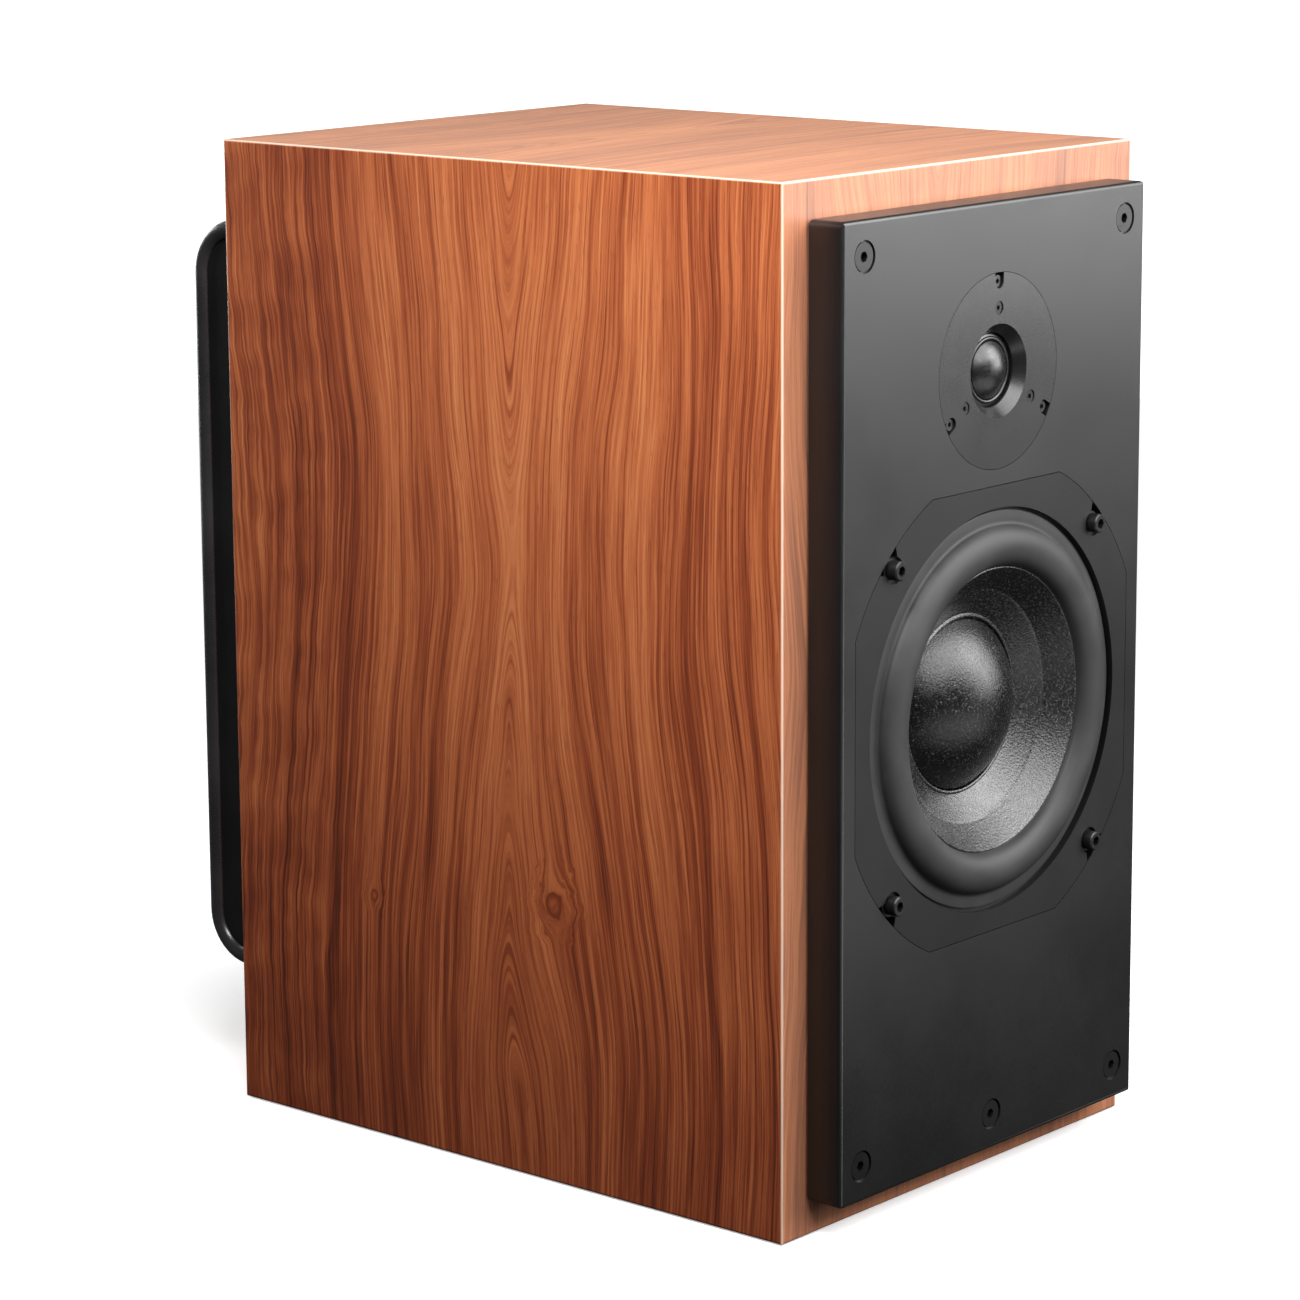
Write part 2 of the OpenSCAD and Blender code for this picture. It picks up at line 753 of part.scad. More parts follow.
// The hoop: two legs, two quarter bends and an upright of the same rod.
module guard_hoop(side) {
    upright_y = back_y + guard_out;
    leg = guard_out - amp_t - guard_bend_r;
    tall = guard_high - guard_low - 2 * guard_bend_r;
    color("#181818") translate([side * guard_x, 0, 0]) {
        translate([0, upright_y, guard_low + guard_bend_r]) cylinder(r = guard_rod_r, h = tall);
        for (end = [[guard_high, 1], [guard_low, -1]]) {
            translate([0, amp_face, end[0]]) rotate([-90, 0, 0]) cylinder(r = guard_rod_r, h = leg);
            translate([0, upright_y - guard_bend_r, end[0] - end[1] * guard_bend_r])
                rotate([90, 0, 90]) rotate(end[1] > 0 ? 0 : -90)
                    rotate_extrude(angle = 90) translate([guard_bend_r, 0]) circle(r = guard_rod_r);
        }
    }
}

module guard_hoop_left() { guard_hoop(-1); }
module guard_hoop_right() { guard_hoop(1); }

module amplifier_board() {
    mid = (board_z[0] + board_z[1]) / 2;
    color("darkgreen") on_back(0, mid)
        block(board_w, board_z[1] - board_z[0], -boss_len - board_t, -boss_len);
}

module power_transistors() {
    color("#222222") for (i = [0 : 3]) on_back(-54 + i * 36, 232) {
        block(16, 20, -5, 0);
        for (x = [-5, 0, 5]) translate([x, -11, 0]) block(1, 2.2, -boss_len, -2);
    }
}

module filter_capacitors() {
    color("navy") for (x = [-36, 36]) on_back(x, 290)
        disc(16, -boss_len - board_t - 42, -boss_len - board_t);
}

module toroidal_transformer() {
    corner = 8;
    color("#c8a24a") translate([toroid_at.x, toroid_at.y, panel_t]) rotate_extrude()
        translate([(toroid_r + toroid_hole_r) / 2, toroid_h / 2])
            rounded_square(toroid_r - toroid_hole_r, toroid_h, corner);
}

module transformer_bolt() {
    top = panel_t + toroid_h;
    color("silver") translate([toroid_at.x, toroid_at.y, 0]) {
        disc(3, 6, top);
        disc(30, top, top + 2);
        translate([0, 0, top + 2]) cylinder(r = 6, h = 4.5, $fn = 6);
    }
}

module on_plate(at) { on_back(at.x, at.y, amp_t) children(); }

module mains_inlet() {
    color("#101010") on_plate(inlet_at) difference() {
        union() {
            plate(inlet_w + 8, inlet_h + 8, 0, inlet_flange_t, 3);
            plate(inlet_w, inlet_h, -30, 0, 1);
        }
        translate([0, inlet_mouth_up, 0])
            plate(inlet_mouth.x, inlet_mouth.y, -inlet_depth, 10, 2.5);
        translate([0, -drawer_down, 0]) block(drawer_slot.x, drawer_slot.y, -26, 10);
        translate([0, inlet_mouth_up, 0]) for (p = [[0, 3], [-7, -2], [7, -2]])
            translate(p) block(2.1, 4.1, -40, 0);
    }
}

module mains_inlet_pins() {
    color("silver") on_plate(inlet_at) translate([0, inlet_mouth_up, 0])
        for (p = [[0, 3], [-7, -2], [7, -2]]) translate(p) block(2, 4, -36, pin_tip);
}

module fuse_drawer() {
    w = drawer_slot.x - 2 * gap;
    h = drawer_slot.y - 2 * gap;
    front = inlet_flange_t + gap;
    color("#181818") on_plate(inlet_at) translate([0, -drawer_down, 0]) difference() {
        union() {
            block(w, h, -drawer_len, front + 0.1);
            plate(w + 2, h + 2, front, front + 2, 1);
        }
        block(21, 6, -drawer_len + 4, -drawer_len + 10.4);
        translate([0, h / 2, -drawer_len + 7.2]) block(21, h, -3.2, 3.2);
        translate([0, h / 2 + 1, front]) block(8, 3, 0.8, 5);
    }
}

module mains_fuse() {
    color("lightgray") on_plate(inlet_at) translate([-10, -drawer_down - 0.4, -drawer_len + 7.2])
        rotate([0, 90, 0]) cylinder(r = 2.6, h = 20);
}

module power_switch_frame() {
    color("#101010") on_plate(switch_at) difference() {
        union() {
            plate(switch_body.x + 5, switch_body.y + 5, 0, 2, 2);
            plate(switch_body.x, switch_body.y, -16, 0, 1);
        }
        block(switch_mouth.x, switch_mouth.y, -9, 10);
        translate([-20, 0, rocker_axis]) rotate([0, 90, 0])
            cylinder(r = rocker_pin_r + 0.06, h = 40);
    }
}

module power_switch_rocker() {
    color("#262626") on_plate(switch_at) translate([0, 0, rocker_axis]) rotate([rocker_tilt, 0, 0]) {
        rotate([90, 0, 90]) translate([0, 0, -rocker_w / 2]) linear_extrude(rocker_w)
            polygon([[-rocker_half, 4.6], [0, 3.2], [rocker_half, 4.6], [rocker_half, -3], [-rocker_half, -3]]);
        translate([-8.6, 0, 0]) rotate([0, 90, 0]) cylinder(r = rocker_pin_r, h = 17.2);
    }
}

module gain_knob() {
    color("#2c2c2c") on_plate(knob_at) difference() {
        union() {
            disc(knob_r, 1, knob_h - 1);
            translate([0, 0, knob_h - 1]) cylinder(r1 = knob_r, r2 = knob_r - 1, h = 1);
            disc(knob_stem_r, -9, 1);
        }
        translate([-0.5, knob_r - 4, knob_h - 0.6]) cube([1, 10, 2]);
    }
}

module gain_potentiometer() {
    color("steelblue") on_plate(knob_at) difference() {
        block(17, 17, -amp_t - 8, -amp_t);
        disc(knob_stem_r + 0.4, -10, 0);
    }
}

module status_led() {
    color("limegreen") on_plate(led_at) {
        disc(led_r, -8, 0.6);
        intersection() {
            translate([0, 0, 0.6 - 1]) sphere(r = sqrt(led_r * led_r + 1));
            disc(led_r, 0.5, 5);
        }
    }
}

module xlr_socket() {
    color("#1f1f1f") on_plate(xlr_at) difference() {
        union() {
            difference() {
                union() {
                    plate(xlr_body.x + 4, xlr_body.y + 5, 0, 2, 2);
                    plate(xlr_body.x, xlr_body.y, -20, 0, 2);
                }
                translate([0, -1.5, 0]) disc(xlr_mouth_r, -15, 5);
            }
            translate([0, -1.5, 0]) disc(xlr_core_r, -16, 0.5);
        }
        translate([0, -1.5, 0]) for (a = [30, 150, 270]) rotate(a)
            translate([xlr_pin_circle_r, 0]) disc(1.55, -30, 5);
        translate([0, latch_at, 0])
            block(latch_size.x + 2 * gap + 0.1, latch_size.y + 2 * gap + 0.1, -9, 5);
    }
}

module xlr_contacts() {
    color("gold") on_plate(xlr_at) translate([0, -1.5, 0]) for (a = [30, 150, 270]) rotate(a)
        translate([xlr_pin_circle_r, 0]) ring(1.5, 1.1, -25, -2);
}

module xlr_latch() {
    color("#555555") on_plate(xlr_at) translate([0, latch_at, 0])
        block(latch_size.x, latch_size.y, -6, 4.2);
}

// A lead swept along its points as an eight-sided tube.
module lead(points, r) {
    sides = 8;
    last = len(points) - 1;
    function unit(v) = v / norm(v);
    function along(i) = unit(points[min(i + 1, last)] - points[max(i - 1, 0)]);
    function across(i) = unit(cross(along(i), [0.3, 0.2, 1]));
    function rim(i) = [
        for (k = [0 : sides - 1])
            let (u = across(i), v = cross(along(i), u), a = k * 360 / sides)
                points[i] + r * (cos(a) * u + sin(a) * v)
    ];
    walls = [
        for (i = [0 : last - 1], k = [0 : sides - 1])
            let (n = (k + 1) % sides)
                [i * sides + k, i * sides + n, (i + 1) * sides + n, (i + 1) * sides + k]
    ];
    ends = [[for (k = [sides - 1 : -1 : 0]) k], [for (k = [0 : sides - 1]) last * sides + k]];
    polyhedron([for (i = [0 : last]) each rim(i)], concat(walls, ends), convexity = 6);
}

module driver_leads() {
    board_front = back_y - boss_len - board_t;
    woofer_tag = face_y - basket_back + 11.4;
    tweeter_tag = face_y - tweeter_ring + tweeter_top_t + tweeter_magnet_t + tweeter_back_t + 10.4;
    color("firebrick") {
        lead([[-60, board_front, 214], [-60, 96, 214], [74, 30, 214],
            [74, woofer_tag + 8, woofer_z], [74, woofer_tag, woofer_z]], 2);
        lead([[60, board_front, 350], [60, 96, 350], [0, 30, 345],
            [0, tweeter_tag + 8, tweeter_z - 18], [0, tweeter_tag, tweeter_z - 18]], 2);
    }
}

// ---------- nodes ----------

side_panel_left();
side_panel_right();
top_panel();
bottom_panel();
front_panel();
back_panel();
cabinet_brace();
acoustic_wadding();
baffle_gasket();
front_baffle();
baffle_screws();
threaded_inserts();
tweeter_faceplate();
tweeter_mounting_screws();
tweeter_faceplate_screws();
tweeter_top_plate();
tweeter_magnet();
tweeter_pole_piece();
tweeter_surround();
tweeter_dome();
tweeter_voice_coil();
tweeter_terminals();
woofer_basket();
woofer_gasket();
woofer_screws();
woofer_surround();
woofer_spider();
woofer_cone();
woofer_dome();
woofer_voice_coil();
woofer_top_plate();
woofer_magnet();
woofer_pole_piece();
woofer_terminals();
amp_plate();
amp_plate_screws();
heatsink();
amp_cheek_left();
amp_cheek_right();
guard_hoop_left();
guard_hoop_right();
amplifier_board();
power_transistors();
filter_capacitors();
toroidal_transformer();
transformer_bolt();
mains_inlet();
mains_inlet_pins();
fuse_drawer();
mains_fuse();
power_switch_frame();
power_switch_rocker();
gain_knob();
gain_potentiometer();
status_led();
xlr_socket();
xlr_contacts();
xlr_latch();
driver_leads();
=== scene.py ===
"""Looks of a two-way active bookshelf speaker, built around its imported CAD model.

Lengths are in metres in the part's own frame: the origin is the centre of the cabinet's underside,
the front faces -Y and +Z is up. Driver profiles are in millimetres from the driver's own axis,
where "out" is the distance in front of the baffle's face.
"""

import json
import math
import random

import bmesh
import bpy
import numpy as np
from mathutils import Matrix, Vector

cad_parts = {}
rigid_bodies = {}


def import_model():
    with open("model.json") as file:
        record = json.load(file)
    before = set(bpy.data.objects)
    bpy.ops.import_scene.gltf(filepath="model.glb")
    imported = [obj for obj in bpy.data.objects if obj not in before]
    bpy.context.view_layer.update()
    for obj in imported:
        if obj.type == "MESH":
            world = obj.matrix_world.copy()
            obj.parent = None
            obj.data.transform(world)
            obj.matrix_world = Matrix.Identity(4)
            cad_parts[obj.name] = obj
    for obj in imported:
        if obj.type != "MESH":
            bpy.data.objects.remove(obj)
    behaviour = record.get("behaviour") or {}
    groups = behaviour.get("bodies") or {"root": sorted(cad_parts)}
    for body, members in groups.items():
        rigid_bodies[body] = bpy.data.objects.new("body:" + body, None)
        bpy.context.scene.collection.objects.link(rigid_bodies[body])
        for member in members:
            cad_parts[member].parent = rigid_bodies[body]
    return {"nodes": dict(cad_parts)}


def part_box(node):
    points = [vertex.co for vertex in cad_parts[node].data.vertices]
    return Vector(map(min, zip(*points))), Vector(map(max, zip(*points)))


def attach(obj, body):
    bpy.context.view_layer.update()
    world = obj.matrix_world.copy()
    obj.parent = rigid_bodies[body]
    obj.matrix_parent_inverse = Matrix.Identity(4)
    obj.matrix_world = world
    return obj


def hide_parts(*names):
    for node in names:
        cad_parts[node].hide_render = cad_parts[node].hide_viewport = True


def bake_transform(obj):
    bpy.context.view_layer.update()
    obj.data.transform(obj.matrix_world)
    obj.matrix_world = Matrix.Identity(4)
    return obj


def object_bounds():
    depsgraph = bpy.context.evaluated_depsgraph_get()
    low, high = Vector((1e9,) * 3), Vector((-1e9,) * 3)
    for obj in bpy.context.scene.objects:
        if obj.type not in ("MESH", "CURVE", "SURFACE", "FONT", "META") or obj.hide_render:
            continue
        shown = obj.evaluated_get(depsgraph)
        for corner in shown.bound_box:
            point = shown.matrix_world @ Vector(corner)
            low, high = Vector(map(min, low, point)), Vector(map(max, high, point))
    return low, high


for left_over in list(bpy.data.objects):
    bpy.data.objects.remove(left_over)

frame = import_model()
cad_low, cad_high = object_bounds()
nodes = frame["nodes"]

MM = 0.001
CABINET = "cabinet"
WOOFER = "woofer_diaphragm"
TWEETER = "tweeter_diaphragm"

BAFFLE_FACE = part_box("front_baffle")[0].y  # its lowest Y
# The planes of the cabinet's outer faces, each from the panel that reaches it.
TOP_EDGE = ("z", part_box("top_panel")[1].z)
FRONT_EDGE = ("y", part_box("front_panel")[0].y)
SIDE_EDGES = (("x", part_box("side_panel_left")[0].x), ("x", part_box("side_panel_right")[1].x))


def middle(node):
    """The centre of a CAD node's box."""
    low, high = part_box(node)
    return (low + high) / 2


WOOFER_AXIS = middle("woofer_magnet")
TWEETER_AXIS = middle("tweeter_magnet")


# ---------------------------------------------------------------- camera, floor and lights

PHOTO_SIDE = 1300  # pixels
FOCAL_LENGTH = 4300.2  # pixels of a picture PHOTO_SIDE wide
SENSOR = 36.0
CAMERA_PLACE = Vector((-1.439373, -1.221456, 0.608516))
CAMERA_YAW, CAMERA_PITCH, CAMERA_ROLL = (math.radians(v) for v in (-49.327, 11.025, -0.322))
CAMERA_SHIFT_Y = -0.05

FLOOR_RADIUS = 3.0
FLOOR_GAP = 0.0004                 # below the cabinet, so that the two faces don't flicker
FLOOR_FADE = (0.4, 1.3)            # where the paper starts and ends turning into the white background
FLOOR_GLOW = 0.45
WORLD_FILL = 0.05                  # the world's strength for everything but the camera

FRONT = (0.0, -0.18, 0.38)
LIGHTS = (
    # name, place, aim, (width, height), watts
    ("key", (0.15, -1.02, 1.05), (0.0, -0.18, 0.3), (1.5, 0.9), 25.0),
    ("front_right", (1.05, -1.08, 0.72), FRONT, (0.9, 1.0), 17.0),
    ("side_key", (-0.5, -0.3, 0.85), (-0.12, -0.02, 0.42), (0.3, 0.3), 7.0),
    ("edge_top", (-0.25, 0.9, 1.25), (-0.12, 0.0, 0.44), (0.6, 0.2), 2.0),
    ("horizon", (1.5, 1.4, 0.6), (0.0, 0.0, 0.4), (1.6, 1.2), 3.0),
    ("rear_fill", (0.2, 1.9, 0.55), (0.0, 0.2, 0.25), (1.6, 0.9), 14.0),
    ("floor_glow", (0.12, -0.75, 0.001), (0.12, -0.75, 1.0), (0.7, 0.6), 1.5),
)
NARROW = {"rear_fill": 120.0}      # spread in degrees, where it isn't the full half circle
UNSEEN = ("floor_glow",)           # lights that would show in the picture


def add_camera():
    data = bpy.data.cameras.new("camera")
    data.sensor_width = SENSOR
    data.lens = FOCAL_LENGTH / PHOTO_SIDE * SENSOR
    data.shift_y = CAMERA_SHIFT_Y
    level = math.cos(CAMERA_PITCH)
    back = Vector((math.sin(CAMERA_YAW) * level, -math.cos(CAMERA_YAW) * level, math.sin(CAMERA_PITCH)))
    right = Vector((math.cos(CAMERA_YAW), math.sin(CAMERA_YAW), 0.0))
    up = back.cross(right)
    across = right * math.cos(CAMERA_ROLL) + up * math.sin(CAMERA_ROLL)
    above = -right * math.sin(CAMERA_ROLL) + up * math.cos(CAMERA_ROLL)
    turn = Matrix((across, above, back)).transposed().to_4x4()
    camera = bpy.data.objects.new("camera", data)
    camera.matrix_world = Matrix.Translation(CAMERA_PLACE) @ turn
    bpy.context.scene.collection.objects.link(camera)
    bpy.context.scene.camera = camera


def add_light(name, place, aim, size, watts):
    """A rectangular area light of size (width, height) at place, facing aim."""
    data = bpy.data.lights.new(name, "AREA")
    data.shape = "RECTANGLE"
    data.size, data.size_y = size
    data.energy = watts
    data.spread = math.radians(NARROW.get(name, 180.0))
    lamp = bpy.data.objects.new(name, data)
    lamp.visible_camera = name not in UNSEEN
    lamp.location = place
    lamp.rotation_euler = (Vector(aim) - Vector(place)).to_track_quat("-Z", "Y").to_euler()
    bpy.context.scene.collection.objects.link(lamp)


def light_the_studio():
    for light in LIGHTS:
        add_light(*light)
    world = bpy.data.worlds.new("studio")
    world.use_nodes = True
    bpy.context.scene.world = world
    tree = world.node_tree
    seen = tree.nodes.new("ShaderNodeLightPath").outputs["Is Camera Ray"]
    level = tree.nodes.new("ShaderNodeMapRange")
    level.inputs["To Min"].default_value = WORLD_FILL
    level.inputs["To Max"].default_value = 1.0
    tree.links.new(seen, level.inputs["Value"])
    tree.links.new(level.outputs[0], tree.nodes["Background"].inputs["Strength"])
    tree.nodes["Background"].inputs["Color"].default_value = (1.0, 1.0, 1.0, 1.0)


# ---------------------------------------------------------------- material graphs


def srgb(red, green, blue):
    """A linear RGBA colour from 0-255 display values."""
    def linear(value):
        share = value / 255
        return share / 12.92 if share <= 0.04045 else ((share + 0.055) / 1.055) ** 2.4
    return (linear(red), linear(green), linear(blue), 1.0)


def scaled(colour, factor):
    """A linear colour made lighter or darker."""
    return tuple(min(1.0, part * factor) for part in colour[:3]) + (1.0,)


class Graph:
    """One material's node tree. Each method adds a node and returns its output socket."""

    def __init__(self, name):
        self.material = bpy.data.materials.new(name)
        self.material.use_nodes = True
        self.tree = self.material.node_tree
        self.shader = self.tree.nodes["Principled BSDF"]
        self.place = self.node("ShaderNodeTexCoord").outputs["Object"]

    def node(self, kind, inputs=None, **settings):
        added = self.tree.nodes.new(kind)
        for key, value in settings.items():
            setattr(added, key, value)
        for key, value in (inputs or {}).items():
            self.put(added.inputs[key], value)
        return added

    def put(self, socket, value):
        if isinstance(value, bpy.types.NodeSocket):
            self.tree.links.new(value, socket)
        else:
            socket.default_value = value

    def math(self, operation, first, second=0.0):
        return self.node("ShaderNodeMath", {0: first, 1: second}, operation=operation).outputs[0]

    def times(self, first, second):
        return self.math("MULTIPLY", first, second)

    def less(self, first, second):
        return self.math("SUBTRACT", first, second)

    def total(self, first, *others):
        for other in others:
            first = self.math("ADD", first, other)
        return first

    def split(self, vector):
        parts = self.node("ShaderNodeSeparateXYZ", {0: vector}).outputs
        return {"x": parts[0], "y": parts[1], "z": parts[2]}

    def join(self, x=0.0, y=0.0, z=0.0):
        return self.node("ShaderNodeCombineXYZ", {0: x, 1: y, 2: z}).outputs[0]

    def stretch(self, vector, scale):
        return self.node("ShaderNodeMapping", {"Vector": vector, "Scale": scale}).outputs[0]

    def noise(self, vector, scale, detail=3.0, roughness=0.5, distortion=0.0):
        inputs = {"Vector": vector, "Scale": scale, "Detail": detail,
                  "Roughness": roughness, "Distortion": distortion}
        return self.node("ShaderNodeTexNoise", inputs).outputs[0]

    def grain(self, across, fineness, along, stretch, seed, detail, roughness):
        """Noise with a scale of its own across the wood and along it."""
        place = self.join(self.times(across, fineness), self.times(along, stretch), seed)
        return self.noise(place, 1.0, detail, roughness)

    def cells(self, vector, scale):
        inputs = {"Vector": vector, "Scale": scale}
        return self.node("ShaderNodeTexVoronoi", inputs).outputs["Distance"]

    def length(self, vector):
        return self.node("ShaderNodeVectorMath", {0: vector}, operation="LENGTH").outputs["Value"]

    def span(self, value, low, high, to_low=0.0, to_high=1.0, smooth=True):
        """Maps low..high to to_low..to_high, clamped."""
        kind = "SMOOTHSTEP" if smooth else "LINEAR"
        inputs = {"Value": value, "From Min": low, "From Max": high,
                  "To Min": to_low, "To Max": to_high}
        return self.node("ShaderNodeMapRange", inputs, interpolation_type=kind).outputs[0]

    def ramp(self, value, stops):
        """stops is a list of (position, colour)."""
        added = self.node("ShaderNodeValToRGB", {0: value})
        elements = added.color_ramp.elements
        while len(elements) < len(stops):
            elements.new(0.5)
        for element, (position, colour) in zip(elements, stops):
            element.position = position
            element.color = colour
        return added.outputs[0]

    def mix(self, share, first, second):
        added = self.node("ShaderNodeMix", data_type="RGBA")
        self.put(added.inputs[0], share)
        self.put(added.inputs[6], first)
        self.put(added.inputs[7], second)
        return added.outputs[2]

    def bump(self, height, distance, strength):
        inputs = {"Strength": strength, "Distance": distance, "Height": height}
        return self.node("ShaderNodeBump", inputs).outputs[0]

    def surface(self, **values):
        """Sets the shader's sockets, by the names in SOCKETS."""
        for key, value in values.items():
            self.put(self.shader.inputs[SOCKETS[key]], value)
        return self.material


SOCKETS = {
    "colour": "Base Color",
    "roughness": "Roughness",
    "metallic": "Metallic",
    "normal": "Normal",
    "ior": "IOR",
    "specular": "Specular IOR Level",
    "sheen": "Sheen Weight",
    "sheen_roughness": "Sheen Roughness",
    "transmission": "Transmission Weight",
    "glow": "Emission Color",
    "glow_strength": "Emission Strength",
}


# ---------------------------------------------------------------- wood

FIGURE = {
    # Where the cathedral figure lies on each face: its centre across the grain, the height along the
    # grain where the arches turn, how deep the pith lies there, how fast it rises on either side, how
    # much redder the wood gets towards the far edge, and how much painted shade darkens the low end.
    "side": {"centre": -0.012, "turn": 0.27, "depth": 0.036, "rise": 0.15, "redden": 0.12, "painted_low_shade": 0.2},
    "top": {"centre": 0.03, "turn": 0.02, "depth": 0.05, "rise": 0.12, "redden": 0.0, "painted_low_shade": 0.0},
    "front": {"centre": -0.02, "turn": 0.2, "depth": 0.16, "rise": 0.08, "redden": 0.0, "painted_low_shade": 0.0},
}
KNOTS = ((-0.0335, 0.124, 0.0050), (0.0735, 0.110, 0.0024))  # across, along, radius on the side panels

TIP_POWER = 1.35  # 2 gives round arches in the figure, 1 gives sharp ones
RING_PROFILE = ((0.0, 0.1), (0.45, 0.16), (0.86, 0.62), (0.95, 1.0), (1.0, 0.1))  # place, darkness

WOOD_PALE = srgb(224, 142, 90)
WOOD_WARM = srgb(198, 110, 65)
WOOD_RED = srgb(152, 71, 39)
WOOD_DARK = srgb(88, 36, 20)
# painted sheen for the faces that the lights hit harder
WOOD_PAINTED_SHEEN = srgb(232, 204, 172)
# painted highlight along the veneer's rounded corners
WOOD_EDGE_HIGHLIGHT = srgb(250, 228, 206)


def veneer(name, along, across, into, figure, edges, knots=(), painted_sheen=0.0, painted_shade=0.0, dull=0.0):
    """Lacquered cherry veneer. along, across and into name the axes of the grain, the width and the depth.
    Everything is drawn in ring space: how far a point lies from the pith, and how far along it.
    edges lists the planes (axis, value) along whose rounded corners the veneer gets a painted highlight.
    The pale mix is a painted sheen on the faces that the lights hit harder, and the dark mix is painted
    shade that tones those faces down again. dull roughens the lacquer."""
    g = Graph(name)
    axes = g.split(g.place)
    a, b, d = axes[along], axes[across], axes[into]
    # How far a point lies from the middle of the figure, with slow drift, wobble and a curly band.
    drift = g.grain(b, 6.0, a, 3.4, d, 2.0, 0.45)
    wobble = g.grain(b, 26.0, a, 5.5, d, 2.0, 0.5)
    curl = g.grain(b, 45.0, a, 38.0, 5.0, 2.0, 0.5)
    ripple = g.times(g.span(b, 0.07, 0.13), g.less(curl, 0.5))
    offset = g.total(g.less(b, figure["centre"]), g.times(g.less(drift, 0.5), 0.034),
                     g.times(g.less(wobble, 0.5), 0.003), g.times(ripple, 0.006))
    from_turn = g.less(a, figure["turn"])
    away = g.math("SQRT", g.total(g.times(from_turn, from_turn), 0.003))
    heave = g.grain(b, 14.0, a, 7.0, 9.0, 2.0, 0.5)
    pith = g.total(g.less(figure["depth"], g.times(away, figure["rise"])),
                   g.times(g.less(heave, 0.5), 0.016))

    # The grain parts round each knot, whose core is a ragged oval with a darker rim.
    knot_core = None
    for place_across, place_along, radius in knots:
        gap = g.join(g.less(b, place_across), g.times(g.less(a, place_along), 0.8))
        ragged = g.grain(b, 210.0, a, 150.0, d, 2.0, 0.5)
        reach = g.times(g.length(gap), g.span(ragged, 0.25, 0.75, 0.8, 1.25, smooth=False))
        hold = g.span(reach, radius * 0.4, radius * 3.6, 0.9, 0.0)
        offset = g.less(offset, g.times(hold, g.less(b, place_across)))
        rim = g.less(1.0, g.math("ABSOLUTE", g.less(g.math("DIVIDE", reach, radius), 0.85)))
        core = g.times(g.span(reach, radius * 0.9, radius * 1.2, 1.0, 0.0),
                       g.span(rim, 0.4, 1.0, 0.5, 0.8))
        knot_core = core if knot_core is None else g.math("MAXIMUM", knot_core, core)
    skew = g.grain(b, 15.0, a, 2.2, 7.0, 2.0, 0.5)
    beside = g.math("SQRT", g.total(g.times(offset, offset), 0.00001))
    ring = g.math("POWER", g.total(g.math("POWER", beside, TIP_POWER),
                                   g.math("POWER", g.math("MAXIMUM", pith, 0.0), TIP_POWER)),
                  1.0 / TIP_POWER)
    ring = g.total(ring, g.times(g.less(skew, 0.5), 0.012))

    # Growth rings: uneven bands with a soft near edge and a hard far edge, each of its own strength.
    uneven = g.grain(ring, 60.0, a, 1.5, 4.0, 2.0, 0.5)
    phase = g.total(g.times(ring, 120.0), g.times(uneven, 5.0))
    own = g.node("ShaderNodeTexWhiteNoise", {"W": g.math("FLOOR", phase)}, noise_dimensions="1D").outputs[0]
    calm = g.span(beside, 0.015, 0.06, 0.4, 0.9)
    line = g.ramp(g.math("FRACT", phase), [(at, (level, level, level, 1.0)) for at, level in RING_PROFILE])
    line = g.times(g.times(line, g.span(own, 0.0, 1.0, 0.1, 1.0)), calm)

    # Finer marks: threads, fibres, streaks, broad tones and open pores.
    thread = g.grain(ring, 1500.0, a, 5.0, 8.0, 3.0, 0.6)
    fibre = g.grain(ring, 900.0, a, 16.0, 1.0, 4.0, 0.6)
    streak = g.grain(ring, 340.0, a, 2.2, 2.0, 5.0, 0.72)
    tone = g.grain(ring, 34.0, a, 1.1, 3.0, 2.0, 0.5)
    grey_band = g.grain(ring, 75.0, a, 0.8, 6.0, 3.0, 0.6)
    pore = g.span(g.grain(b, 1900.0, a, 110.0, d, 2.0, 0.5), 0.60, 0.72)

    streaks = g.times(g.less(g.span(streak, 0.34, 0.66, 0.0, 0.38), 0.13), calm)
    darkness = g.total(g.times(line, 0.28), g.total(streaks, 0.08),
                       g.span(tone, 0.3, 0.7, -0.02, 0.34, smooth=False),
                       g.span(fibre, 0.35, 0.68, -0.11, 0.19),
                       g.span(thread, 0.5, 0.68, 0.0, 0.2),
                       g.times(ripple, 0.5),
                       g.span(b, -0.02, 0.16, 0.0, figure["redden"]),
                       # painted shade: darker towards the low end of the panel
                       g.span(a, 0.0, 0.34, figure["painted_low_shade"], 0.0, smooth=False),
                       g.span(grey_band, 0.52, 0.7, 0.0, 0.26))
    if knot_core is not None:
        darkness = g.math("MAXIMUM", darkness, knot_core)
    colour = g.ramp(darkness, [(0.0, WOOD_PALE), (0.3, WOOD_WARM), (0.62, WOOD_RED), (1.0, WOOD_DARK)])
    colour = g.mix(g.times(pore, 0.38), colour, WOOD_DARK)
    # painted sheen: a paler copy for a face that the lights hit harder
    if painted_sheen:
        colour = g.mix(painted_sheen, colour, WOOD_PAINTED_SHEEN)
    # painted shade: a darker copy that tones such a face down
    if painted_shade:
        colour = g.mix(painted_shade, colour, WOOD_DARK)
